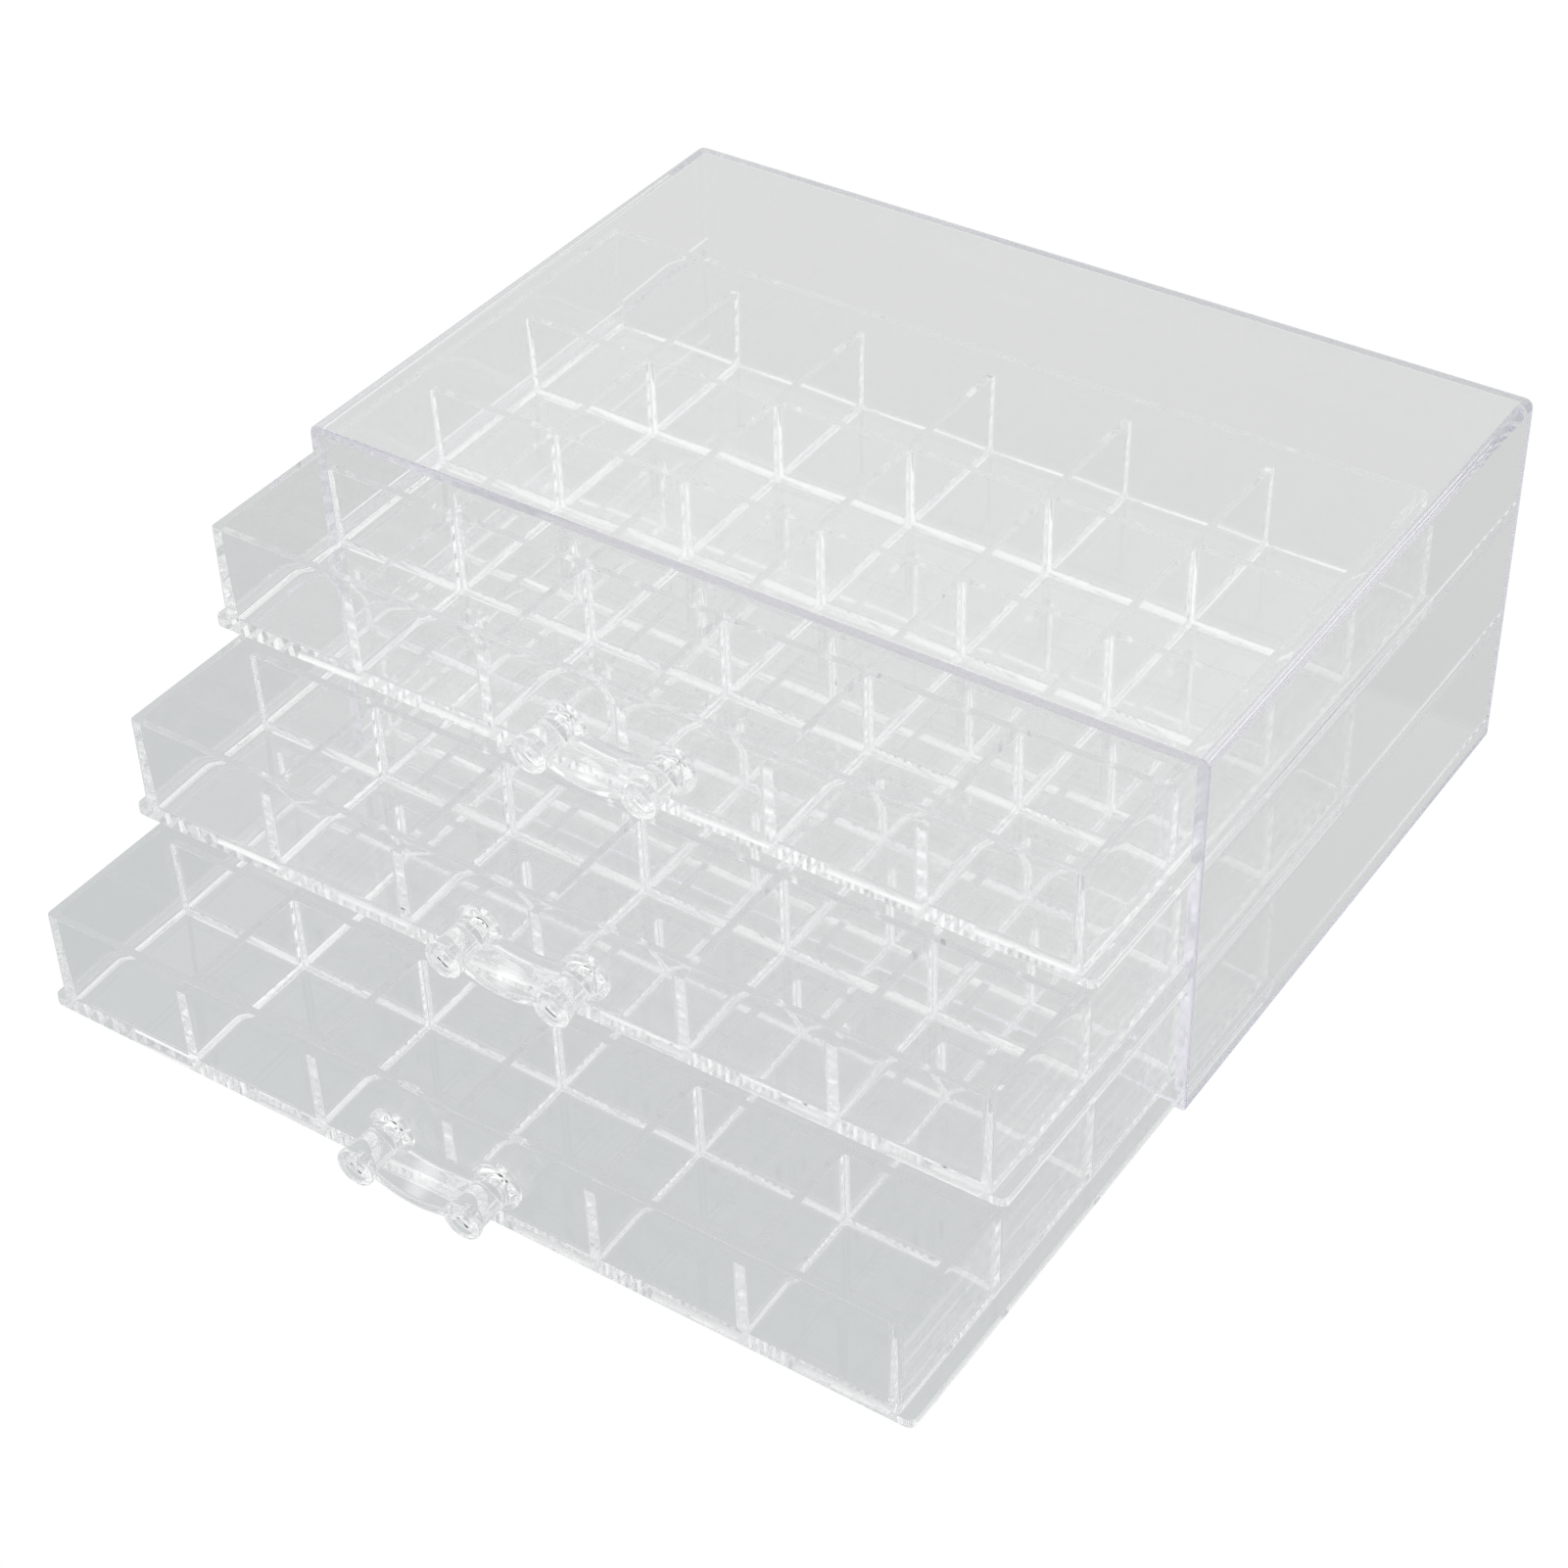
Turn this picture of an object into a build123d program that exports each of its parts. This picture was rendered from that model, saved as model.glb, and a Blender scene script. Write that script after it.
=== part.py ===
from build123d import *
import os

# Clear three-drawer box for small jewellery. Millimetres, +Z up, drawers open towards -Y.
# The origin is the middle of the case's underside.

# Case
case_width = 235.0
case_depth = 158.5
side_wall = 3.0
top_wall = 2.4
back_wall = 2.5
floor_thickness = 1.6
back_corner_radius = 3.0
top_edge_radius = 2.5
base_edge_radius = 2.8
inner_corner_radius = 1.0
rim_edge_radius = 0.4

# Grooves that carry the drawers in the side walls
groove_depth = 1.5
groove_head_room = 1.3

# Clearances between the case and the drawers
runner_clearance = 0.3
side_clearance = 0.4
head_clearance = 0.5
back_clearance = 0.5
closed_recess = 2.1

# Drawer trays
wall_height = 28.4
level_gap = 4.0
base_thickness = 2.4
runner_reach = 3.4
runner_corner_radius = 2.0
tray_wall = 2.0
tray_corner_radius = 0.8
tray_inner_radius = 0.8
foot_radius = 0.8
lip_radius = 0.4

# Dividers: upright plates that cross with half laps
cell_columns = 6
cell_rows = 4
divider_thickness = 2.1
divider_drop = 5.4
divider_end_clearance = 0.1
lap_clearance = 0.1

# Handles
post_spacing = 28.4
post_height = 13.5
post_length = 13.3
post_radius = 4.1
post_foot_radius = 6.0
post_foot_thickness = 1.5
post_disc_radius = 4.7
post_disc_thickness = 1.6
post_disc_edge = 0.4
dimple_radius = 3.3
dimple_depth = 3.6
bridge_setback = 1.5
bridge_end_height = 1.2
bridge_back_sag = 0.6
bridge_front_sag = 3.0
bridge_back_thickness = 3.0
bridge_front_thickness = 1.9
bridge_lip_rise = 0.8

# Split pins that hold each handle
pin_radius = 1.75
pin_clearance = 0.15
pin_reach = 3.0
pin_bore_spare = 0.4
pin_head_radius = 3.2
pin_head_thickness = 1.2
pin_head_edge = 0.5
pin_tip_chamfer = 0.5
pin_slot_width = 0.5
pin_slot_depth = 1.5
pin_slot_arms = 3

# How far each drawer stands open in the pose that is modelled
drawer_openings = {"bottom": 108.4, "middle": 74.2, "top": 40.7}

# Sizes that follow from the ones above
tray_half_width = case_width / 2 - side_wall + groove_depth - side_clearance - runner_reach
runner_half_width = tray_half_width + runner_reach
tray_depth = case_depth - back_wall - back_clearance - closed_recess
level_pitch = wall_height + level_gap
first_level = floor_thickness + runner_clearance
inner_top = first_level + (len(drawer_openings) - 1) * level_pitch + wall_height + head_clearance
case_height = inner_top + top_wall
case_front = -case_depth / 2
inner_half_width = tray_half_width - tray_wall
inner_depth = tray_depth - 2 * tray_wall
divider_top = wall_height - divider_drop
divider_height = divider_top - base_thickness
lap_height = base_thickness + divider_height / 2
pin_hole_radius = pin_radius + pin_clearance


def box_between(low, high):
    """Return the box between two opposite corners."""
    size = [b - a for a, b in zip(low, high)]
    return Pos(*low) * Box(*size, align=(Align.MIN, Align.MIN, Align.MIN))


def level_height(level):
    """Return the height of a tray's underside."""
    return first_level + level * level_pitch


def divider_places(count, span):
    """Return the centres of the dividers that part a span into equal cells."""
    cell = (span - (count - 1) * divider_thickness) / count
    return [(i + 1) * cell + (i + 0.5) * divider_thickness for i in range(count - 1)]


def make_case():
    """The case: one moulding, open at the front, with three grooves in each side wall."""
    shell = box_between((-case_width / 2, case_front, 0), (case_width / 2, -case_front, case_height))
    uprights = shell.edges().filter_by(Axis.Z).group_by(Axis.Y)[-1]
    shell = fillet(uprights, back_corner_radius)
    top_edges = [e for e in shell.faces().sort_by(Axis.Z)[-1].edges() if e.center().Y > case_front + 1e-3]
    shell = fillet(top_edges, top_edge_radius)
    base_edges = [e for e in shell.faces().sort_by(Axis.Z)[0].edges() if e.center().Y > case_front + 1e-3]
    shell = fillet(base_edges, base_edge_radius)

    bay_half_width = case_width / 2 - side_wall
    bay_back = -case_front - back_wall
    bay = box_between((-bay_half_width, 2 * case_front, floor_thickness), (bay_half_width, bay_back, inner_top))
    bay = fillet(bay.edges().filter_by(Axis.Z).group_by(Axis.Y)[-1], inner_corner_radius)
    shell -= bay

    for level in range(len(drawer_openings)):
        groove_low = level_height(level) - runner_clearance
        groove_high = level_height(level) + base_thickness + groove_head_room
        reach = bay_half_width + groove_depth
        shell -= box_between((-reach, 2 * case_front, groove_low), (reach, bay_back, groove_high))

    rim = [e for e in shell.faces().sort_by(Axis.Y)[0].outer_wire().edges()]
    return fillet(rim, rim_edge_radius)


def make_tray():
    """A drawer's tray. Its base reaches past the walls on both sides and runs in the grooves."""
    base = box_between((-runner_half_width, 0, 0), (runner_half_width, tray_depth, base_thickness))
    base = fillet(base.edges().filter_by(Axis.Z), runner_corner_radius)
    walls = box_between((-tray_half_width, 0, 0), (tray_half_width, tray_depth, wall_height))
    walls = fillet(walls.edges().filter_by(Axis.Z), tray_corner_radius)

    low = (-inner_half_width, tray_wall, base_thickness)
    high = (inner_half_width, tray_depth - tray_wall, 2 * wall_height)
    hollow = box_between(low, high)
    hollow = fillet(hollow.edges().filter_by(Axis.Z), tray_inner_radius)
    hollow = fillet(hollow.faces().sort_by(Axis.Z)[0].edges(), foot_radius)

    tray = base + walls - hollow
    tray = fillet(tray.faces().sort_by(Axis.Z)[-1].edges(), lip_radius)
    for x in (-post_spacing / 2, post_spacing / 2):
        hole = Cylinder(pin_hole_radius, 2 * tray_wall, rotation=(90, 0, 0))
        tray -= Pos(x, tray_wall / 2, post_height) * hole
    return tray


def make_divider_plate(length):
    """An upright plate along X, with its feet cut to clear the rounded foot of the tray's wall."""
    plate = box_between((0, -divider_thickness / 2, base_thickness), (length, divider_thickness / 2, divider_top))
    feet = plate.edges().filter_by(Axis.Y).group_by(Axis.Z)[0]
    return chamfer(feet, foot_radius)


def make_column_divider(x):
    """A divider from front to back, slotted from above where the row dividers cross it."""
    length = inner_depth - 2 * divider_end_clearance
    start = tray_wall + divider_end_clearance
    plate = Pos(x, start, 0) * Rot(0, 0, 90) * make_divider_plate(length)
    half_slot = divider_thickness / 2 + lap_clearance
    for y in row_places:
        low = (x - divider_thickness, y - half_slot, lap_height - lap_clearance)
        plate -= box_between(low, (x + divider_thickness, y + half_slot, wall_height))
    return plate


def make_row_divider(y):
    """A divider from side to side, slotted from below where the column dividers cross it."""
    length = 2 * (inner_half_width - divider_end_clearance)
    plate = Pos(-length / 2, y, 0) * make_divider_plate(length)
    half_slot = divider_thickness / 2 + lap_clearance
    for x in column_places:
        high = (x + half_slot, y + divider_thickness, lap_height + lap_clearance)
        plate -= box_between((x - half_slot, y - divider_thickness, 0), high)
    return plate


def bridge_section(y, sag, thickness):
    """The handle bridge's section at y: a strip that sags between the posts."""
    end = post_spacing / 2
    top = bridge_end_height
    upper = ThreePointArc((-end, y, top), (0, y, -sag), (end, y, top))
    lower = ThreePointArc((-end, y, top - thickness), (0, y, -sag - thickness), (end, y, top - thickness))
    sides = [Line(upper @ 0, lower @ 0), Line(upper @ 1, lower @ 1)]
    return make_face([upper, lower] + sides)


def make_handle():
    """A bow handle: two posts with a disc at each end and a sagging bridge between them."""
    bridge_front = -(post_length - bridge_setback)
    back = bridge_section(0, bridge_back_sag, bridge_back_thickness)
    front = bridge_section(bridge_front, bridge_front_sag, bridge_front_thickness)
    handle = loft([back, front])
    lip_thickness = bridge_back_thickness + 2 * bridge_lip_rise
    lip = bridge_section(0, bridge_back_sag - bridge_lip_rise, lip_thickness)
    handle += extrude(lip, amount=post_foot_thickness, dir=(0, -1, 0))

    foot_taper = (post_foot_radius - post_radius) / 2
    outline = [
        (0, 0, 0),
        (post_foot_radius, 0, 0),
        (post_foot_radius, 0, post_foot_thickness),
        (post_radius, 0, post_foot_thickness + foot_taper),
        (post_radius, 0, post_length - post_disc_thickness - post_disc_edge),
        (post_disc_radius, 0, post_length - post_disc_thickness),
        (post_disc_radius, 0, post_length - post_disc_edge),
        (post_disc_radius - post_disc_edge, 0, post_length),
        (0, 0, post_length),
    ]
    post = Rot(90, 0, 0) * revolve(make_face(Polyline(*outline, close=True)), Axis.Z)
    bore_depth = pin_reach + pin_bore_spare
    bore = Rot(90, 0, 0) * Cylinder(pin_hole_radius, 2 * bore_depth)
    dimple = Cone(0, dimple_radius, dimple_depth, align=(Align.CENTER, Align.CENTER, Align.MAX))
    dimple = Pos(0, -post_length, 0) * Rot(90, 0, 0) * dimple
    places = [Pos(x, 0, 0) for x in (-post_spacing / 2, post_spacing / 2)]
    for place in places:
        handle += place * post
    for place in places:
        handle -= place * bore
        handle -= place * dimple
    return Pos(0, 0, post_height) * handle


def make_pin():
    """A push-in pin: a head inside the drawer and a split tip inside the handle's post."""
    shank_length = tray_wall + pin_reach
    shank = Cylinder(pin_radius, shank_length, align=(Align.CENTER, Align.CENTER, Align.MIN))
    shank = chamfer(shank.edges().sort_by(Axis.Z)[-1], pin_tip_chamfer)
    for arm in range(pin_slot_arms):
        slot = Box(2 * pin_radius, pin_slot_width, 2 * pin_slot_depth, align=(Align.MIN, Align.CENTER, Align.CENTER))
        shank -= Rot(0, 0, 90 + arm * 360 / pin_slot_arms) * Pos(0, 0, shank_length) * slot
    head = Cylinder(pin_head_radius, pin_head_thickness, align=(Align.CENTER, Align.CENTER, Align.MAX))
    head = fillet(head.edges().sort_by(Axis.Z)[0], pin_head_edge)
    return Rot(90, 0, 0) * (head + shank)


def make_pins():
    """The pair of pins of one handle."""
    pin = make_pin()
    pair = [Pos(x, tray_wall, post_height) * pin for x in (-post_spacing / 2, post_spacing / 2)]
    return Compound(children=pair)


column_places = [x - inner_half_width for x in divider_places(cell_columns, 2 * inner_half_width)]
row_places = [y + tray_wall for y in divider_places(cell_rows, inner_depth)]

drawer_parts = {"tray": make_tray(), "handle": make_handle(), "handle_pins": make_pins()}
for number, x in enumerate(column_places, start=1):
    drawer_parts[f"column_divider_{number}"] = make_column_divider(x)
for number, y in enumerate(row_places, start=1):
    drawer_parts[f"row_divider_{number}"] = make_row_divider(y)

nodes = {"case": make_case()}
for level, (drawer, opening) in enumerate(drawer_openings.items()):
    place = Pos(0, case_front - opening, level_height(level))
    for name, shape in drawer_parts.items():
        nodes[f"{drawer}_drawer_{name}"] = place * shape

os.makedirs("parts", exist_ok=True)
for name, shape in nodes.items():
    export_step(shape, f"parts/{name}.step")
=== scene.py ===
import math

import bmesh
import bpy
from mathutils import Matrix, Vector


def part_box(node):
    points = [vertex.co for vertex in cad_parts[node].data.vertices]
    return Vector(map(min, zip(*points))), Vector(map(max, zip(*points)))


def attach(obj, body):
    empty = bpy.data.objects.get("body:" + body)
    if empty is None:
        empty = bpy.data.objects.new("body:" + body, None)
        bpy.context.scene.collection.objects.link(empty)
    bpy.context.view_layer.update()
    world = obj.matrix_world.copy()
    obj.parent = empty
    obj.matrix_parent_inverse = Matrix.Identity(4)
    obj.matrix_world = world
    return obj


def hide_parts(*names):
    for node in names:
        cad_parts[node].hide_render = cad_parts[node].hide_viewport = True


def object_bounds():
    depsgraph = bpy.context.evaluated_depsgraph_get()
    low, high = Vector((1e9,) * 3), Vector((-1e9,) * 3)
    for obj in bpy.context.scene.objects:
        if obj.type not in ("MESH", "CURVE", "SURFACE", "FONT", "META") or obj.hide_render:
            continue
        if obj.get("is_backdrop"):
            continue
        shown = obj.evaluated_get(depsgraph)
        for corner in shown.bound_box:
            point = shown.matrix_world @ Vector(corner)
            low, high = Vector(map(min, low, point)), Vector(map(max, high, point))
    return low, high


# Clear three-drawer box for small jewellery, open in steps. Lengths are in metres.

MM = 0.001

# The tray mouldings: what the frame's boxes don't say
RUNNER_REACH = 3.4 * MM  # how far the base reaches past a side wall
DIVIDER_GAP = 0.1 * MM  # between a divider plate's end and the tray's wall
BASE_EDGE = 0.15 * MM
BASE_CORNER = 2.0 * MM
WALL_CORNER = 1.2 * MM
WALL_FOOT = 0.5 * MM
FLANGE_RISE = 0.05 * MM  # how far the base's top slopes up to the walls
WALL_DRAFT = 1.1 * MM  # how much thinner a wall is at its lip than at its foot
BEAD = 0.18 * MM  # how much a wall thickens again towards its lip
BEAD_DEPTH = 2.0 * MM
LIP_RADIUS = 0.2 * MM
LIP_STEPS = tuple(d * MM for d in (0.4, 0.8, 1.2, 1.7, 2.2, 2.8, 3.5, 4.4))
POCKET_CORNER = 0.6 * MM
FLOOR_FILLET = 1.3 * MM
DIVIDER_DRAFT = 0.2 * MM  # on each face, from top to foot
DIVIDER_EDGE = 0.12 * MM
PIN_HOLE_RADIUS = 1.9 * MM
COLUMN_DIVIDERS, ROW_DIVIDERS = 5, 3

# The case's walls, grooves and edges
SIDE_WALL, TOP_WALL, BACK_WALL, CASE_FLOOR = (t * MM for t in (3.0, 2.4, 2.5, 1.6))
GROOVE_DEPTH = 1.5 * MM
GROOVE_BELOW, GROOVE_ABOVE = 0.3 * MM, 3.7 * MM  # floor and ceiling, from a tray's underside
CASE_TOP_RADIUS, CASE_BASE_RADIUS, CASE_BACK_RADIUS = 2.5 * MM, 1.0 * MM, 2.5 * MM
RIM_ROUNDING = 0.6 * MM
INNER_EDGE = 0.25 * MM

# How finely the meshes are made
ARC_STEPS, EDGE_STEPS, PROFILE_STEPS = 5, 3, 4
BEVEL_SEGMENTS, CIRCLE_SEGMENTS, BOW_STATIONS = 2, 96, 48
LEAST_RADIUS = 0.05 * MM  # where a corner's radius shrinks with its outline
MERGE, CUT_MERGE = 1e-7, 2e-6  # how near two points count as one, also after a cut
HOLE_SIDES = 5  # the most sides of a hole that a cut may leave
EDGE_SHARE = 0.45  # the most of a profile's line that one rounding takes
CREASE_ANGLE, HANDLE_CREASE_ANGLE = 35, 30
NORMAL_WEIGHT = 60

DRAWERS = ("bottom", "middle", "top")

# The handles: posts with a foot ring, a rim and a dimple, the bow between them, and their pins
POSTS = (-14.2 * MM, 14.2 * MM)
POST_HEIGHT = 13.5 * MM
POST_LENGTH = 13.3 * MM
POST_RADIUS = 4.1 * MM
POST_FOOT_RADIUS = 6.0 * MM
POST_FOOT = 1.5 * MM
POST_FOOT_TAPER = 0.95 * MM
RIM_RADIUS = 4.7 * MM
RIM_WIDTH = 1.4 * MM
RIM_TAPER = 0.9 * MM
DIMPLE_RADIUS = 3.3 * MM
DIMPLE_DEPTH = 3.6 * MM
POST_ROUNDING = 0.4 * MM
PIN_BORE = 3.4 * MM
BOW_LENGTH = 11.8 * MM
BOW_END_HEIGHT = 1.2 * MM
BOW_BACK_SAG, BOW_FRONT_SAG = 0.6 * MM, 3.0 * MM
BOW_BACK_THICKNESS, BOW_FRONT_THICKNESS = 3.0 * MM, 1.9 * MM
BOW_FLARE = 0.8 * MM
SEAT_GAP = 0.05 * MM  # air between faces that lie on each other
BOW_GAP = 0.3 * MM  # between the tray's front and the bow
PIN_HEAD_PLACE = 2.0 * MM  # from the tray's front to the pins' heads
PIN_HEAD_SEAT = 3.35 * MM
PIN_HOLE_REACH = 6 * MM  # how far the cutter for a pin's hole reaches each way
BORE_START = 1 * MM  # how far the cutters for the posts start outside them

# Clear plastics: tint and density of the depth colour, height of the moulding waves, roughness
PLASTICS = {
    "case": ((0.937, 0.928, 0.973), 6.0, 0.003 * MM, 0.036),
    "drawer": ((0.915, 0.925, 0.93), 7.0, 0.006 * MM, 0.022),
    "handle": ((0.97, 0.975, 0.98), 8.0, 0.01 * MM, 0.0),
    "pin": ((0.97, 0.975, 0.98), 8.0, 0.01 * MM, 0.0),
}
IOR = 1.5
WAVE_SCALE, WAVE_DETAIL = 40.0, 1.0
BOUNCES, CLEAR_LAYERS = 400, 32  # light goes far inside the walls

# Camera, worked out from the photograph's corners
CAMERA_PLACE = (339.275 * MM, -544.069 * MM, 509.313 * MM)
CAMERA_AZIMUTH, CAMERA_ELEVATION, CAMERA_ROLL = 35.023, 39.139, -1.807
LENS, SENSOR = 75.28, 36.0
CLIP_START = 10 * MM

# The studio: a floor and a tent round it, and how bright each part is
FLOOR_RADIUS, FLOOR_DROP = 3.0, 0.1 * MM
FLOOR_SEEN = 1.0
# Painted shadow under the box: light seen through the plastic finds the floor grey, darker towards the
# front and lighter towards the back
FLOOR_SHADOW_NEAR, FLOOR_SHADOW_FAR = 0.60, 0.655
FLOOR_NEAR_AT, FLOOR_FAR_AT = -0.20, 0.15  # along Y
NEAR_TONE, FAR_TONE = (0.964, 1.0, 1.01), (0.984, 1.0, 0.986)
SKY_TOP, SKY_SIDE, SKY_LOW = 0.92, 1.09, 0.94
SKY_SIDE_AT = 0.63  # the sine of the elevation that flat faces reflect towards the camera
OPENING_SIZE, OPENING_GREY = 0.24, 0.08
OPENING_EDGE = 0.8  # where its soft edge starts, as a share of its size
SOFTBOXES = (  # direction, size of the bright middle, size with the soft edge, brightness
    ((-0.42, 0.20, 0.88), 0.03, 0.26, 4.5),
    ((0.745, -0.271, 0.609), 0.10, 0.32, 2.0),
)


def quarter(steps, first=0):
    """The angles of a quarter turn, from step first on."""
    return [math.pi / 2 * i / steps for i in range(first, steps + 1)]


def arc(centre, radius, start):
    """Points of a quarter circle, from angle start, counter-clockwise."""
    angles = [start + a for a in quarter(ARC_STEPS)]
    return [(centre[0] + radius * math.cos(a), centre[1] + radius * math.sin(a)) for a in angles]


def corners(x0, x1, y0, y1, radius):
    """The four corner arcs of a rounded rectangle: front left, front right, back right, back left."""
    r = radius
    return [
        arc((x0 + r, y0 + r), r, math.pi),
        arc((x1 - r, y0 + r), r, 1.5 * math.pi),
        arc((x1 - r, y1 - r), r, 0),
        arc((x0 + r, y1 - r), r, 0.5 * math.pi),
    ]


def inset(outline, dx, dy):
    """A rectangle made smaller by dx and dy on each side."""
    x0, x1, y0, y1 = outline
    return x0 + dx, x1 - dx, y0 + dy, y1 - dy


def bridge(bm, ring_a, ring_b):
    """Quads between two closed rings of as many points."""
    n = len(ring_a)
    for k in range(n):
        m = (k + 1) % n
        bm.faces.new((ring_a[k], ring_a[m], ring_b[m], ring_b[k]))


def mesh_from(bm, name):
    """A mesh made from bm, which is freed."""
    bmesh.ops.remove_doubles(bm, verts=bm.verts, dist=MERGE)
    bmesh.ops.recalc_face_normals(bm, faces=bm.faces)
    data = bpy.data.meshes.new(name)
    bm.to_mesh(data)
    bm.free()
    return data


def divider_nodes(drawer):
    """The names of a drawer's dividers: those from front to back, then those from side to side."""
    columns = [f"{drawer}_drawer_column_divider_{n + 1}" for n in range(COLUMN_DIVIDERS)]
    return columns, [f"{drawer}_drawer_row_divider_{n + 1}" for n in range(ROW_DIVIDERS)]


class TrayMoulding:
    """A tray and its dividers as one moulding, with its underside's front middle at the origin."""

    def __init__(self, drawer):
        tray_low, tray_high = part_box(f"{drawer}_drawer_tray")
        columns, rows = ([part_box(name) for name in names] for names in divider_nodes(drawer))
        front, base = tray_low.y, tray_low.z
        self.base_half = tray_high.x
        self.depth = tray_high.y - front
        self.height = tray_high.z - base
        self.base_thickness = rows[0][0].z - base
        self.divider_top = rows[0][1].z - base
        self.half_divider = (rows[0][1].y - rows[0][0].y) / 2
        self.inner_half = rows[0][1].x + DIVIDER_GAP
        self.wall_half = self.base_half - RUNNER_REACH
        self.inner_front = columns[0][0].y - DIVIDER_GAP - front
        self.inner_back = columns[0][1].y + DIVIDER_GAP - front
        self.column_lines = [(low.x + high.x) / 2 for low, high in columns]
        self.row_lines = [(low.y + high.y) / 2 - front for low, high in rows]
        self.bm = bmesh.new()

    def vert(self, x, y, z):
        return self.bm.verts.new((x, y, z))

    def wall_inset(self, z):
        """How far the walls' inner faces stand in from where they are at the lip, at height z."""
        depth = self.height - z
        bead = BEAD * (1 - math.exp(-((depth / BEAD_DEPTH) ** 2)))
        return WALL_DRAFT * depth / (self.height - self.base_thickness) - bead

    def divider_half(self, z):
        """Half a divider's thickness at height z."""
        depth = self.divider_top - z
        return self.half_divider + DIVIDER_DRAFT * depth / (self.divider_top - self.base_thickness)

    def inner_outline(self, z, extra=0.0):
        """The walls' inner faces at height z, moved inwards by extra."""
        d = self.wall_inset(z) + extra
        return inset((-self.inner_half, self.inner_half, self.inner_front, self.inner_back), d, d)

    def ring(self, outline, radius, z):
        """A closed loop of points round the tray, with one at the end of each divider's centre line."""
        x0, x1, y0, y1 = outline
        front_left, front_right, back_right, back_left = corners(x0, x1, y0, y1, radius)
        points = list(front_left)
        points += [(x, y0) for x in self.column_lines]
        points += front_right
        points += [(x1, y) for y in self.row_lines]
        points += back_right
        points += [(x, y1) for x in reversed(self.column_lines)]
        points += back_left
        points += [(x0, y) for y in reversed(self.row_lines)]
        return [self.vert(x, y, z) for x, y in points]

    def outside(self):
        """The underside, the runners, the outer walls and the lip. Returns the lip's inner ring."""
        wall = (-self.wall_half, self.wall_half, 0.0, self.depth)
        base = (-self.base_half, self.base_half, 0.0, self.depth)
        edge = BASE_EDGE
        rings = [self.ring(inset(base, edge, edge), BASE_CORNER - edge, 0.0)]
        bottom = rings[0]
        for a in quarter(EDGE_STEPS, 1):
            d = edge * (1 - math.sin(a))
            rings.append(self.ring(inset(base, d, d), BASE_CORNER - d, edge * (1 - math.cos(a))))
        for a in quarter(EDGE_STEPS):
            d = edge * (1 - math.cos(a))
            z = self.base_thickness - edge * (1 - math.sin(a))
            rings.append(self.ring(inset(base, d, 0.0), BASE_CORNER - d, z))
        for a in quarter(EDGE_STEPS):
            d = WALL_FOOT * (1 - math.sin(a))
            z = self.base_thickness + FLANGE_RISE + WALL_FOOT * (1 - math.cos(a))
            rings.append(self.ring(inset(wall, -d, 0.0), WALL_CORNER, z))
        for a in quarter(ARC_STEPS):
            d = LIP_RADIUS * (1 - math.cos(a))
            z = self.height - LIP_RADIUS * (1 - math.sin(a))
            rings.append(self.ring(inset(wall, d, d), WALL_CORNER - d, z))
        for a in reversed(quarter(ARC_STEPS)):
            z = self.height - LIP_RADIUS * (1 - math.sin(a))
            d = LIP_RADIUS * (1 - math.cos(a))
            rings.append(self.ring(self.inner_outline(z, -d), WALL_CORNER + d, z))
        for depth in LIP_STEPS:
            z = self.height - depth
            rings.append(self.ring(self.inner_outline(z), WALL_CORNER, z))
        for a, b in zip(rings, rings[1:]):
            bridge(self.bm, a, b)
        self.bm.faces.new(list(reversed(bottom)))
        return rings[-1]

    def pocket_bounds(self, cell, z, spread=0.0):
        """One pocket's outline at height z. spread moves the faces of the dividers outwards."""
        i, j = cell
        x0, x1, y0, y1 = self.inner_outline(z)
        half = self.divider_half(z) - spread
        left = x0 if i == 0 else self.column_lines[i - 1] + half
        right = x1 if i == len(self.column_lines) else self.column_lines[i] - half
        front = y0 if j == 0 else self.row_lines[j - 1] + half
        back = y1 if j == len(self.row_lines) else self.row_lines[j] - half
        return left, right, front, back

    def pocket_ring(self, bounds, radius, z):
        """The points of a pocket's four corners at height z."""
        return [[self.vert(x, y, z) for x, y in side] for side in corners(*bounds, radius)]

    def pocket(self, cell, top):
        """A pocket from the dividers' top down to its floor. top is its topmost ring."""
        rings = [top]
        for a in quarter(EDGE_STEPS, 1):
            spread = DIVIDER_EDGE * (1 - math.sin(a))
            z = self.divider_top - DIVIDER_EDGE * (1 - math.cos(a))
            bounds = self.pocket_bounds(cell, z, spread)
            rings.append(self.pocket_ring(bounds, POCKET_CORNER + spread, z))
        fillet_top = self.base_thickness + FLOOR_FILLET
        bounds = self.pocket_bounds(cell, fillet_top)
        for a in quarter(ARC_STEPS):
            d = FLOOR_FILLET * (1 - math.cos(a))
            z = fillet_top - FLOOR_FILLET * math.sin(a)
            radius = max(POCKET_CORNER - d, LEAST_RADIUS)
            rings.append(self.pocket_ring(inset(bounds, d, d), radius, z))
        flat = [[v for side in ring for v in side] for ring in rings]
        for a, b in zip(flat, flat[1:]):
            bridge(self.bm, a, b)
        self.bm.faces.new(flat[-1])

    def inside(self, lip):
        """The dividers' tops, the pockets and the walls above the dividers."""
        z = self.divider_top
        columns, rows = len(self.column_lines) + 1, len(self.row_lines) + 1
        x0, x1, y0, y1 = self.inner_outline(z)
        xs = [x0] + self.column_lines + [x1]
        ys = [y0] + self.row_lines + [y1]
        grid = {}
        for i, x in enumerate(xs):
            for j, y in enumerate(ys):
                if i not in (0, columns) or j not in (0, rows):
                    grid[i, j] = self.vert(x, y, z)

        # The lip ring's points, by the grid point or corner that they stand over
        n = ARC_STEPS + 1
        order = iter(lip)

        def take(count):
            return [next(order) for _ in range(count)]

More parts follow.
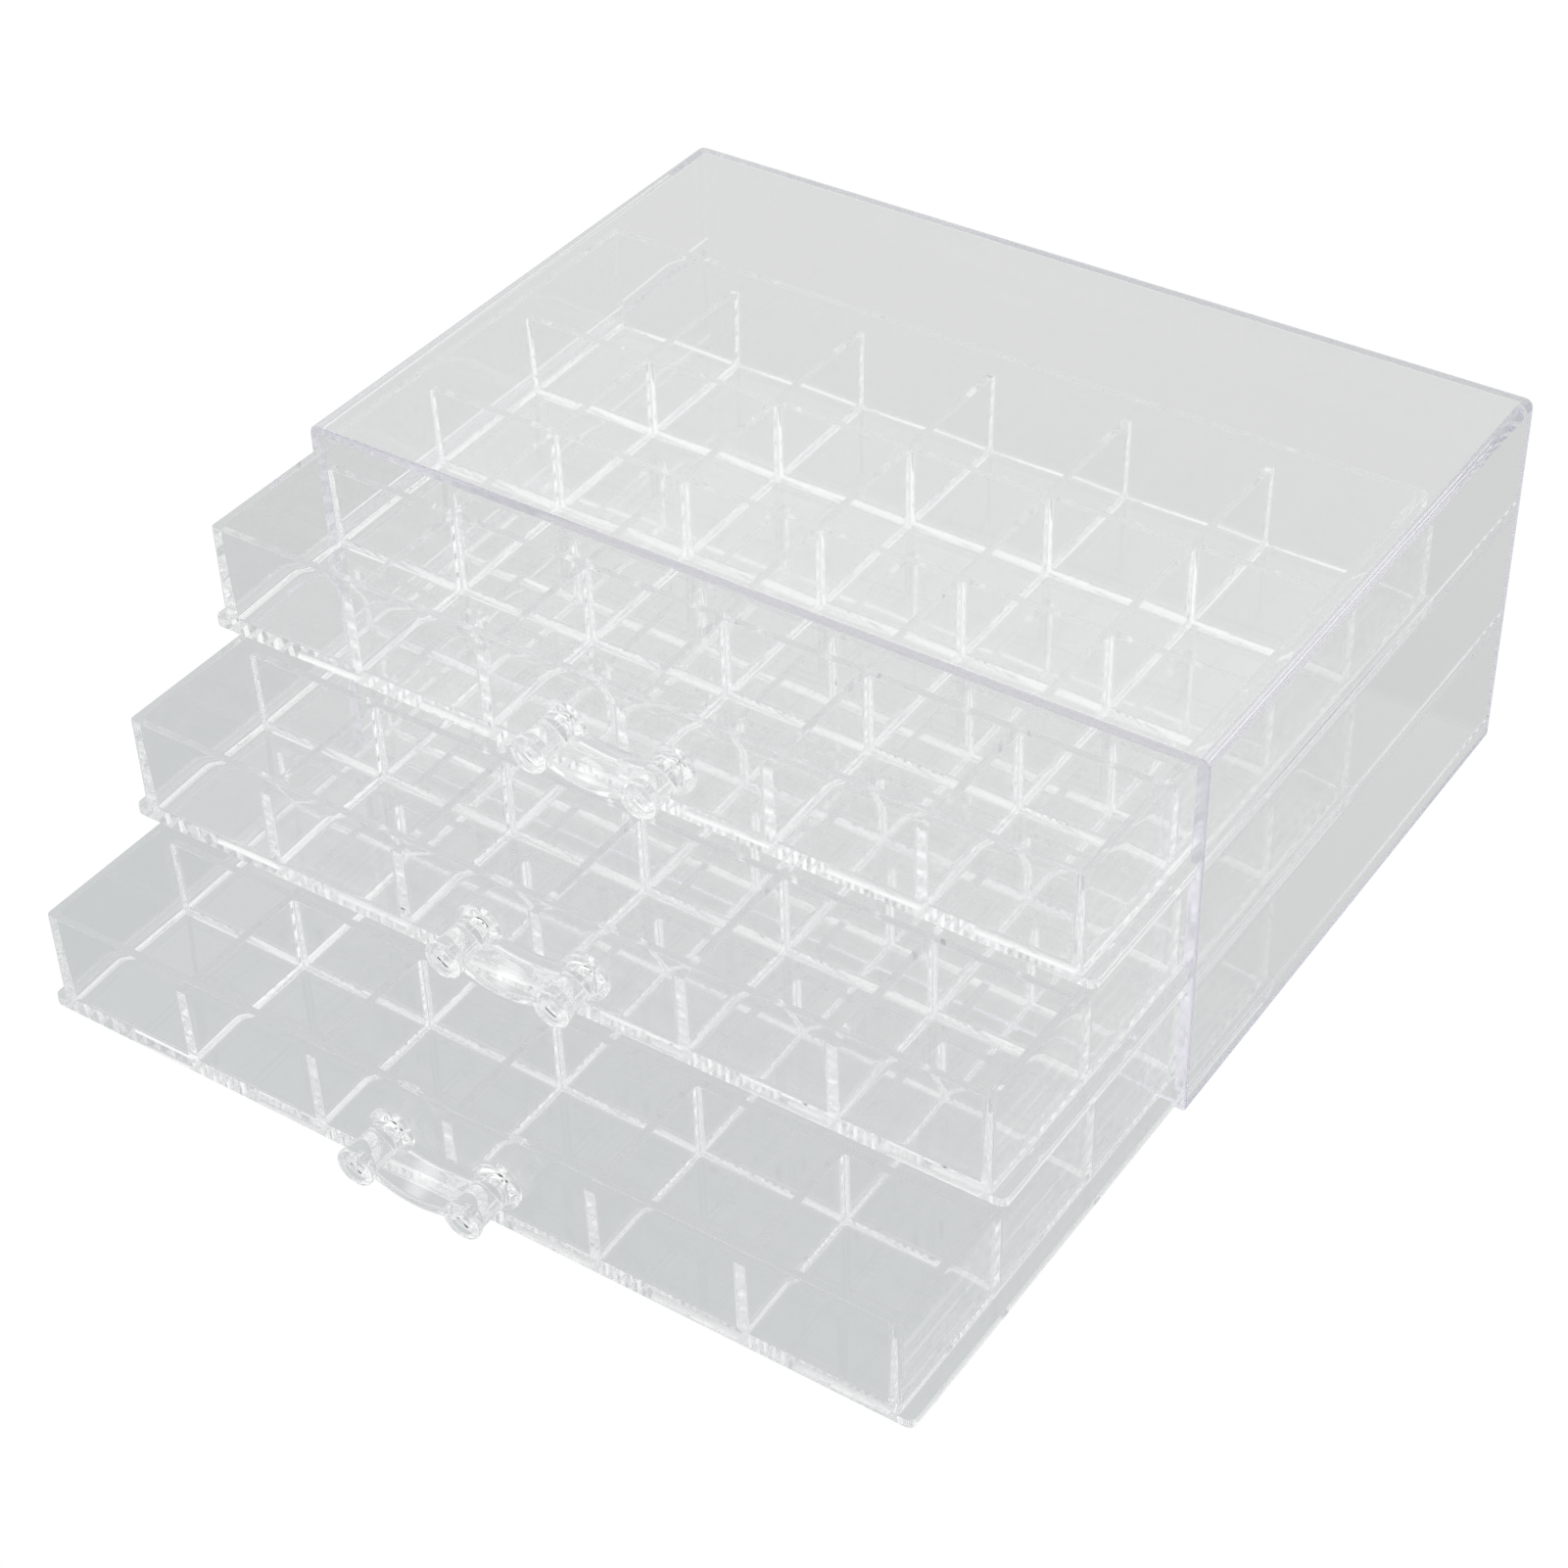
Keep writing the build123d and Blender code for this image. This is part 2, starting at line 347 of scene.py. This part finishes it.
        sides = (
            [(i, 0) for i in range(1, columns)],
            [(columns, j) for j in range(1, rows)],
            [(i, rows) for i in range(columns - 1, 0, -1)],
            [(0, j) for j in range(rows - 1, 0, -1)],
        )
        above, corner_above = {}, []
        for side in sides:
            corner_above.append(take(n))
            above.update((point, next(order)) for point in side)

        spread = DIVIDER_EDGE
        for i in range(columns):
            for j in range(rows):
                bounds = self.pocket_bounds((i, j), z, spread)
                top = self.pocket_ring(bounds, POCKET_CORNER + spread, z)
                self.pocket((i, j), top)
                points = [(i, j), (i + 1, j), (i + 1, j + 1), (i, j + 1)]
                borders = (j == 0, i == columns - 1, j == rows - 1, i == 0)
                for side in range(4):
                    here, there = points[side], points[(side + 1) % 4]
                    a, b = top[side][-1], top[(side + 1) % 4][0]
                    if borders[side]:
                        low = [grid[there]] if there in grid else []
                        low += [b, a]
                        low += [grid[here]] if here in grid else []
                        high_here = above.get(here, corner_above[side][-1])
                        high_there = above.get(there, corner_above[(side + 1) % 4][0])
                        self.bm.faces.new(low + [high_here, high_there])
                    else:
                        self.bm.faces.new([grid[p] for p in (here, there) if p in grid] + [b, a])
                    for k, (p, q) in enumerate(zip(top[side], top[side][1:])):
                        if here in grid:
                            self.bm.faces.new((grid[here], q, p))
                        else:
                            self.bm.faces.new((p, *corner_above[side][k:k + 2], q))

    def mesh(self, name):
        """Build the moulding and return it as a mesh."""
        self.inside(self.outside())
        return mesh_from(self.bm, name)


def case_mesh():
    """The case as one moulding: rounded outside, open at the front, with grooves along its side walls."""
    low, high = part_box("case")
    bm = bmesh.new()

    def outer_ring(d, y):
        """The outline of the case's section at y, made smaller by d."""
        x, z0, z1 = high.x - d, low.z + d, high.z - d
        base = max(CASE_BASE_RADIUS - d, LEAST_RADIUS)
        top = max(CASE_TOP_RADIUS - d, LEAST_RADIUS)
        points = arc((-x + base, z0 + base), base, math.pi)
        points += arc((x - base, z0 + base), base, 1.5 * math.pi)
        points += arc((x - top, z1 - top), top, 0)
        points += arc((-x + top, z1 - top), top, 0.5 * math.pi)
        return [bm.verts.new((px, y, pz)) for px, pz in points]

    rings = []
    for a in quarter(ARC_STEPS):
        rings.append(outer_ring(RIM_ROUNDING * (1 - math.sin(a)), low.y + RIM_ROUNDING * (1 - math.cos(a))))
    for a in quarter(ARC_STEPS):
        y = high.y - CASE_BACK_RADIUS * (1 - math.sin(a))
        rings.append(outer_ring(CASE_BACK_RADIUS * (1 - math.cos(a)), y))
    for a, b in zip(rings, rings[1:]):
        bridge(bm, a, b)
    bm.faces.new(rings[-1])

    bay, ceiling = high.x - SIDE_WALL, high.z - TOP_WALL
    right = [(bay, low.z + CASE_FLOOR)]
    for drawer in DRAWERS:
        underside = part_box(f"{drawer}_drawer_tray")[0].z
        groove_floor, groove_ceiling = underside - GROOVE_BELOW, underside + GROOVE_ABOVE
        reach = bay + GROOVE_DEPTH
        if groove_floor < low.z + CASE_FLOOR + SEAT_GAP:
            right = [(reach, low.z + CASE_FLOOR)]
        else:
            right += [(bay, groove_floor), (reach, groove_floor)]
        right += [(reach, groove_ceiling), (bay, groove_ceiling)]
    right.append((bay, ceiling))
    section = right + [(-x, z) for x, z in reversed(right)]
    front = [bm.verts.new((x, low.y, z)) for x, z in section]
    back = [bm.verts.new((x, high.y - BACK_WALL, z)) for x, z in section]
    sharp = []
    for k in range(len(section)):
        m = (k + 1) % len(section)
        face = bm.faces.new((front[k], back[k], back[m], front[m]))
        sharp += [e for e in face.edges if e not in sharp]
    bm.faces.new(list(reversed(back)))
    rim = [bm.edges.get((a[k], a[(k + 1) % len(a)])) for a in (rings[0], front) for k in range(len(a))]
    bmesh.ops.triangle_fill(bm, use_beauty=True, use_dissolve=False, edges=rim)
    bmesh.ops.recalc_face_normals(bm, faces=bm.faces)
    bmesh.ops.bevel(bm, geom=sharp, offset=INNER_EDGE, segments=BEVEL_SEGMENTS, profile=0.5, affect="EDGES")
    return mesh_from(bm, "case_moulding")


def turned(name, profile, x):
    """A solid turned about the axis of the post at x. profile is (radius, y) from axis to axis."""
    bm = bmesh.new()
    angles = [2 * math.pi * k / CIRCLE_SEGMENTS for k in range(CIRCLE_SEGMENTS)]
    rings = []
    for radius, y in profile:
        points = [(x + radius * math.cos(a), y, POST_HEIGHT + radius * math.sin(a)) for a in angles]
        rings.append([bm.verts.new(p) for p in (points if radius else [(x, y, POST_HEIGHT)])])
    for a, b in zip(rings, rings[1:]):
        if len(a) > 1 and len(b) > 1:
            bridge(bm, a, b)
            continue
        for k in range(CIRCLE_SEGMENTS):
            m = (k + 1) % CIRCLE_SEGMENTS
            bm.faces.new((a[0], b[m], b[k]) if len(a) == 1 else (a[k], a[m], b[0]))
    return mesh_from(bm, name)


def rounded(points, radius):
    """A profile with each inner corner of its line rounded."""
    out = [points[0]]
    for before, here, after in zip(points, points[1:], points[2:]):
        p, q, r = Vector(before), Vector(here), Vector(after)
        reach = min(radius, (p - q).length * EDGE_SHARE, (r - q).length * EDGE_SHARE)
        start, end = q + (p - q).normalized() * reach, q + (r - q).normalized() * reach
        for k in range(PROFILE_STEPS + 1):
            t = k / PROFILE_STEPS
            out.append(tuple((1 - t) ** 2 * start + 2 * t * (1 - t) * q + t * t * end))
    out.append(points[-1])
    return out


def boolean(obj, cutter_mesh, operation):
    """Join or cut an object with another mesh, and keep only the result."""
    cutter = link("cutter", cutter_mesh)
    modifier = obj.modifiers.new("boolean", "BOOLEAN")
    modifier.object, modifier.operation, modifier.solver = cutter, operation, "EXACT"
    bpy.context.view_layer.update()
    evaluated = obj.evaluated_get(bpy.context.evaluated_depsgraph_get())
    result = bpy.data.meshes.new_from_object(evaluated)
    obj.modifiers.clear()
    bpy.data.objects.remove(cutter)
    bm = bmesh.new()
    bm.from_mesh(result)
    bmesh.ops.remove_doubles(bm, verts=bm.verts, dist=CUT_MERGE)
    bmesh.ops.dissolve_degenerate(bm, dist=MERGE, edges=bm.edges)
    bmesh.ops.holes_fill(bm, edges=bm.edges, sides=HOLE_SIDES)
    bm.to_mesh(result)
    bm.free()
    obj.data = result


def bow_mesh():
    """The handle's bridge: a sheet that sags more at its free front edge, with that edge rounded."""
    bm = bmesh.new()
    sections = []
    for i in range(BOW_STATIONS + 1):
        u = 2 * i / BOW_STATIONS - 1
        upper, lower = [], []
        for k in range(BOW_STATIONS + 1):
            t = k / BOW_STATIONS
            y = -BOW_GAP - t * (BOW_LENGTH - BOW_GAP)
            sag = BOW_BACK_SAG + (BOW_FRONT_SAG - BOW_BACK_SAG) * t
            half = (BOW_BACK_THICKNESS + (BOW_FRONT_THICKNESS - BOW_BACK_THICKNESS) * t) / 2
            half += BOW_FLARE * math.exp(-t * BOW_LENGTH / BOW_FLARE)
            middle = BOW_END_HEIGHT - (BOW_END_HEIGHT + sag) * (1 - u * u) - half + POST_HEIGHT
            cap = min(1.0, (BOW_LENGTH + y) / half)  # rounds the free edge
            edge = half * math.sqrt(max(0.0, 1 - (1 - cap) ** 2))
            upper.append((POSTS[1] * u, y, middle + edge))
            lower.append((POSTS[1] * u, y, middle - edge))
        sections.append([bm.verts.new(p) for p in upper + list(reversed(lower[:-1]))])
    for a, b in zip(sections, sections[1:]):
        bridge(bm, a, b)
    bm.faces.new(sections[0])
    bm.faces.new(list(reversed(sections[-1])))
    return mesh_from(bm, "bow")


def handle_mesh():
    """A bow handle: two posts with a foot ring, a rim disc and a dimple, and the bow between them."""
    post = [
        (0, -SEAT_GAP),
        (POST_FOOT_RADIUS, -SEAT_GAP),
        (POST_FOOT_RADIUS, -POST_FOOT),
        (POST_RADIUS, -POST_FOOT - POST_FOOT_TAPER),
        (POST_RADIUS, -POST_LENGTH + RIM_WIDTH + RIM_TAPER),
        (RIM_RADIUS, -POST_LENGTH + RIM_WIDTH),
        (RIM_RADIUS, -POST_LENGTH),
        (0, -POST_LENGTH),
    ]
    bore = [(0, BORE_START), (PIN_HOLE_RADIUS, BORE_START), (PIN_HOLE_RADIUS, -PIN_BORE), (0, -PIN_BORE)]
    outside = -POST_LENGTH - BORE_START
    flare = DIMPLE_RADIUS * (1 + BORE_START / DIMPLE_DEPTH)
    dimple = [(0, outside), (flare, outside), (0, -POST_LENGTH + DIMPLE_DEPTH)]
    obj = link("handle", bow_mesh())
    for x in POSTS:
        boolean(obj, turned("post", rounded(post, POST_ROUNDING), x), "UNION")
    for profile in (bore, dimple):
        for x in POSTS:
            boolean(obj, turned("hollow", profile, x), "DIFFERENCE")
    return unlinked(obj)


def tray_mesh():
    """The moulding that the three drawers share, with holes for a handle's pins in its front wall."""
    obj = link("tray", TrayMoulding(DRAWERS[0]).mesh("tray_moulding"))
    seat, reach = PIN_HEAD_PLACE - SEAT_GAP, PIN_HOLE_REACH
    hole = [(0, reach), (PIN_HEAD_SEAT, reach), (PIN_HEAD_SEAT, seat)]
    hole += [(PIN_HOLE_RADIUS, seat), (PIN_HOLE_RADIUS, -reach), (0, -reach)]
    for x in POSTS:
        boolean(obj, turned("pin_hole", hole, x), "DIFFERENCE")
    return unlinked(obj)


def link(name, data):
    made = bpy.data.objects.new(name, data)
    bpy.context.scene.collection.objects.link(made)
    return made


def unlinked(obj):
    """An object's mesh, with the object itself removed."""
    data = obj.data
    bpy.data.objects.remove(obj)
    return data


def smooth(obj, angle=CREASE_ANGLE):
    """Smooth shading with sharp edges kept, and flat faces kept flat beside their fillets."""
    for p in obj.data.polygons:
        p.use_smooth = True
    obj.data.set_sharp_from_angle(angle=math.radians(angle))
    weighted = obj.modifiers.new("weighted normals", "WEIGHTED_NORMAL")
    weighted.keep_sharp = True
    weighted.weight = NORMAL_WEIGHT


def node(tree, kind, **values):
    made = tree.nodes.new(kind)
    for key, value in values.items():
        setattr(made, key, value)
    return made


def ranged(tree, start, end, low=0.0, high=1.0, **values):
    """A map range node that goes from low at start to high at end."""
    made = node(tree, "ShaderNodeMapRange", **values)
    for name, value in (("From Min", start), ("From Max", end), ("To Min", low), ("To Max", high)):
        made.inputs[name].default_value = value
    return made


def grey(value):
    return value, value, value, 1


def clear_plastic(name, tint, density, wave, roughness):
    """Clear moulded plastic: a faint tint by depth, a slightly soft gloss and shallow moulding waves."""
    material = bpy.data.materials.new(name)
    material.use_nodes = True
    tree = material.node_tree
    shader = tree.nodes["Principled BSDF"]
    shader.inputs["Base Color"].default_value = (1, 1, 1, 1)
    shader.inputs["Transmission Weight"].default_value = 1.0
    shader.inputs["IOR"].default_value = IOR
    shader.inputs["Roughness"].default_value = roughness
    place = node(tree, "ShaderNodeTexCoord")
    waves = node(tree, "ShaderNodeTexNoise")
    waves.inputs["Scale"].default_value = WAVE_SCALE
    waves.inputs["Detail"].default_value = WAVE_DETAIL
    bump = node(tree, "ShaderNodeBump")
    bump.inputs["Strength"].default_value = 1.0
    bump.inputs["Distance"].default_value = wave
    tree.links.new(place.outputs["Object"], waves.inputs["Vector"])
    tree.links.new(waves.outputs["Fac"], bump.inputs["Height"])
    tree.links.new(bump.outputs["Normal"], shader.inputs["Normal"])
    inside = node(tree, "ShaderNodeVolumeAbsorption")
    inside.inputs["Color"].default_value = tint + (1,)
    inside.inputs["Density"].default_value = density
    tree.links.new(inside.outputs["Volume"], tree.nodes["Material Output"].inputs["Volume"])
    return material


def paint(obj, material):
    """Give every slot of an object one material."""
    if obj.material_slots:
        for slot in obj.material_slots:
            slot.material = material
    else:
        obj.data.materials.append(material)


def glow(name, seen, near, far):
    """A floor that is white straight on and, as painted shadow under the box, grey to light that comes
    through clear plastic, darker towards the front.
    """
    material = bpy.data.materials.new(name)
    material.use_nodes = True
    tree = material.node_tree
    tree.nodes.clear()
    path = node(tree, "ShaderNodeLightPath")
    camera = node(tree, "ShaderNodeEmission")
    camera.inputs["Color"].default_value = grey(seen)
    # Painted shadow: the grey emission that light coming through the plastic sees, darker towards the front
    painted_shadow = node(tree, "ShaderNodeEmission")
    place = node(tree, "ShaderNodeTexCoord")
    split = node(tree, "ShaderNodeSeparateXYZ")
    reach = ranged(tree, FLOOR_NEAR_AT, FLOOR_FAR_AT)
    ramp = node(tree, "ShaderNodeValToRGB")
    ramp.color_ramp.elements[0].color = tuple(near) + (1,)
    ramp.color_ramp.elements[1].color = tuple(far) + (1,)
    tree.links.new(place.outputs["Object"], split.inputs[0])
    tree.links.new(split.outputs["Y"], reach.inputs["Value"])
    tree.links.new(reach.outputs["Result"], ramp.inputs[0])
    tree.links.new(ramp.outputs["Color"], painted_shadow.inputs["Color"])
    mix = node(tree, "ShaderNodeMixShader")
    out = node(tree, "ShaderNodeOutputMaterial")
    tree.links.new(path.outputs["Is Camera Ray"], mix.inputs[0])
    tree.links.new(painted_shadow.outputs[0], mix.inputs[1])
    tree.links.new(camera.outputs[0], mix.inputs[2])
    tree.links.new(mix.outputs[0], out.inputs["Surface"])
    material.cycles.emission_sampling = "NONE"
    return material


def make_floor():
    bm = bmesh.new()
    bmesh.ops.create_circle(bm, cap_ends=True, segments=CIRCLE_SEGMENTS, radius=FLOOR_RADIUS)
    data = bpy.data.meshes.new("floor")
    bm.to_mesh(data)
    bm.free()
    floor = link("floor", data)
    floor.location.z = -FLOOR_DROP
    # The painted shadow's two greys, near the front and towards the back, each with its tint
    near = [FLOOR_SHADOW_NEAR * tone for tone in NEAR_TONE]
    far = [FLOOR_SHADOW_FAR * tone for tone in FAR_TONE]
    paint(floor, glow("floor", FLOOR_SEEN, near, far))
    floor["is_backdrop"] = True


def make_world():
    world = bpy.data.worlds.new("studio")
    bpy.context.scene.world = world
    world.use_nodes = True
    world.cycles.sampling_method = "NONE"
    tree = world.node_tree
    tree.nodes.clear()
    place = node(tree, "ShaderNodeTexCoord")
    split = node(tree, "ShaderNodeSeparateXYZ")
    ramp = node(tree, "ShaderNodeValToRGB")
    ramp.color_ramp.elements[0].color = grey(SKY_LOW)
    ramp.color_ramp.elements[1].color = grey(SKY_TOP)
    ramp.color_ramp.elements.new(SKY_SIDE_AT).color = grey(SKY_SIDE)

    # The tent's opening, in front of the object, is dark
    opening = node(tree, "ShaderNodeVectorMath", operation="DISTANCE")
    opening.inputs[1].default_value = Vector(CAMERA_PLACE).normalized()
    edge = ranged(tree, OPENING_SIZE * OPENING_EDGE, OPENING_SIZE, OPENING_GREY)
    shade = node(tree, "ShaderNodeVectorMath", operation="SCALE")
    tree.links.new(place.outputs["Generated"], opening.inputs[0])
    tree.links.new(opening.outputs["Value"], edge.inputs["Value"])
    tree.links.new(ramp.outputs["Color"], shade.inputs[0])
    tree.links.new(edge.outputs["Result"], shade.inputs["Scale"])
    path = node(tree, "ShaderNodeLightPath")

    # Softboxes, which show as soft highlights on the plastic's outer faces
    boxes = []
    for direction, middle, rim, glare in SOFTBOXES:
        away = node(tree, "ShaderNodeVectorMath", operation="DISTANCE")
        away.inputs[1].default_value = Vector(direction).normalized()
        fade = ranged(tree, middle, rim, glare, 0.0, interpolation_type="SMOOTHSTEP")
        tree.links.new(place.outputs["Generated"], away.inputs[0])
        tree.links.new(away.outputs["Value"], fade.inputs["Value"])
        boxes.append(fade.outputs["Result"])
    both = node(tree, "ShaderNodeMath", operation="ADD")
    shown = node(tree, "ShaderNodeMath", operation="MULTIPLY")
    tree.links.new(boxes[0], both.inputs[0])
    tree.links.new(boxes[1], both.inputs[1])
    tree.links.new(both.outputs[0], shown.inputs[0])
    tree.links.new(path.outputs["Is Reflection Ray"], shown.inputs[1])
    softboxes = node(tree, "ShaderNodeBackground")
    tree.links.new(shown.outputs[0], softboxes.inputs["Strength"])

    # The backdrop itself is plain white
    whole = node(tree, "ShaderNodeAddShader")
    tent = node(tree, "ShaderNodeBackground")
    seen = node(tree, "ShaderNodeBackground")
    seen.inputs["Color"].default_value = grey(FLOOR_SEEN)
    mix = node(tree, "ShaderNodeMixShader")
    out = node(tree, "ShaderNodeOutputWorld")
    tree.links.new(place.outputs["Generated"], split.inputs[0])
    tree.links.new(split.outputs["Z"], ramp.inputs[0])
    tree.links.new(shade.outputs["Vector"], tent.inputs["Color"])
    tree.links.new(path.outputs["Is Camera Ray"], mix.inputs[0])
    tree.links.new(tent.outputs[0], whole.inputs[0])
    tree.links.new(softboxes.outputs[0], whole.inputs[1])
    tree.links.new(whole.outputs[0], mix.inputs[1])
    tree.links.new(seen.outputs[0], mix.inputs[2])
    tree.links.new(mix.outputs[0], out.inputs["Surface"])


def make_camera():
    a, e, r = (math.radians(x) for x in (CAMERA_AZIMUTH, CAMERA_ELEVATION, CAMERA_ROLL))
    back = Vector((math.sin(a) * math.cos(e), -math.cos(a) * math.cos(e), math.sin(e)))
    right = (-back).cross(Vector((0, 0, 1))).normalized()
    up = right.cross(-back)
    x = math.cos(r) * right + math.sin(r) * up
    y = -math.sin(r) * right + math.cos(r) * up
    data = bpy.data.cameras.new("camera")
    data.lens, data.sensor_width = LENS, SENSOR
    data.clip_start = CLIP_START
    camera = link("camera", data)
    camera.matrix_world = Matrix.Translation(CAMERA_PLACE) @ Matrix((x, y, back)).transposed().to_4x4()
    bpy.context.scene.camera = camera


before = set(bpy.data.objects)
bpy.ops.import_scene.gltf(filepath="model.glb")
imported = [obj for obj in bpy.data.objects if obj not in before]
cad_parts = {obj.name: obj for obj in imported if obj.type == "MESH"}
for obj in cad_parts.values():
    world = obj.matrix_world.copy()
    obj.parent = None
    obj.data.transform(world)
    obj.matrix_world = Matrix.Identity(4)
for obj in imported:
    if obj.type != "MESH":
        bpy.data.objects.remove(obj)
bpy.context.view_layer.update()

scene = bpy.context.scene
scene.view_settings.view_transform = "Standard"
scene.cycles.use_denoising = True
scene.cycles.max_bounces = BOUNCES
scene.cycles.transmission_bounces = BOUNCES
scene.cycles.glossy_bounces = BOUNCES
scene.cycles.transparent_max_bounces = CLEAR_LAYERS
scene.cycles.caustics_refractive = True
scene.cycles.caustics_reflective = True

plastics = {name: clear_plastic(f"{name}_plastic", *values) for name, values in PLASTICS.items()}
case = link("case_moulding", case_mesh())
paint(case, plastics["case"])
smooth(case)
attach(case, "case")
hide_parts("case")
tray_data, handle_data = tray_mesh(), handle_mesh()
for drawer in DRAWERS:
    low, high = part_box(f"{drawer}_drawer_tray")
    tray = link(f"{drawer}_drawer_moulding", tray_data)
    tray.location = (0, low.y, low.z)
    smooth(tray)
    paint(tray, plastics["drawer"])
    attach(tray, f"{drawer}_drawer")
    columns, rows = divider_nodes(drawer)
    dividers = columns + rows
    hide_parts(f"{drawer}_drawer_tray", *dividers)
    handle = link(f"{drawer}_drawer_bow_handle", handle_data)
    handle.location = (0, low.y, low.z)
    paint(handle, plastics["handle"])
    smooth(handle, HANDLE_CREASE_ANGLE)
    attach(handle, f"{drawer}_drawer")
    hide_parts(f"{drawer}_drawer_handle")
    paint(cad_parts[f"{drawer}_drawer_handle_pins"], plastics["pin"])

make_floor()
make_world()
make_camera()

low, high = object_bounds()
